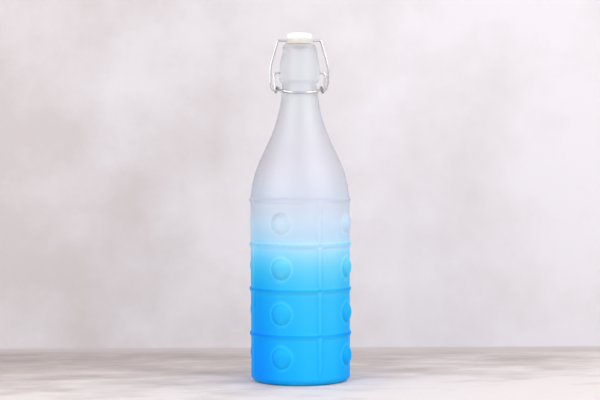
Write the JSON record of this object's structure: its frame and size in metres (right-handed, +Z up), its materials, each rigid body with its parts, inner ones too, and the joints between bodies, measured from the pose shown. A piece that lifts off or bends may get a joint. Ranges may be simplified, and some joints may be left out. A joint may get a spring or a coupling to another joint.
{
  "type": "swing top bottle",
  "caption": "Tall moulded glass bottle with raised rings, ribs and domes, closed by a domed stopper on a wire bail and over-centre lever.",
  "frame": {"origin": "centre of the ring that the bottle stands on", "axes": "+Z up along the bottle; -Y towards the thumb loop; X along the closure's pivots"},
  "size_m": [0.0904, 0.0904, 0.3088],
  "materials": {
    "glass": "frosted, clear at the neck and blue from the body down",
    "wire": "drawn bright wire",
    "plug": "natural, slightly translucent",
    "cap": "white, polished",
    "rubber": "satin"
  },
  "bodies": {
    "bottle": {"bottle": "glass"},
    "lever": {"lever_wire": "wire"},
    "bail": {"bail_wire": "wire"},
    "stopper": {"stopper_plug": "plug", "stopper_cap": "cap", "gasket": "rubber"}
  },
  "joints": [
    {"name": "lever_hinge", "type": "hinge", "parent": "bottle", "child": "lever", "pos_m": [0, 0, 0.2732], "axis": [-1, 0, 0], "range_deg": [0, 90]},
    {"name": "bail_hinge", "type": "hinge", "parent": "lever", "child": "bail", "pos_m": [0, 0.0023, 0.2584], "axis": [-1, 0, 0], "range_deg": [-61, 0]},
    {"name": "stopper_hinge", "type": "hinge", "parent": "bail", "child": "stopper", "pos_m": [0, 0, 0.30193], "axis": [-1, 0, 0], "range_deg": [-30, 0]}
  ],
  "couplings": [
    {"joint": "bail_hinge", "follows": "lever_hinge", "ratio": -0.67},
    {"joint": "stopper_hinge", "follows": "lever_hinge", "ratio": -0.33}
  ]
}
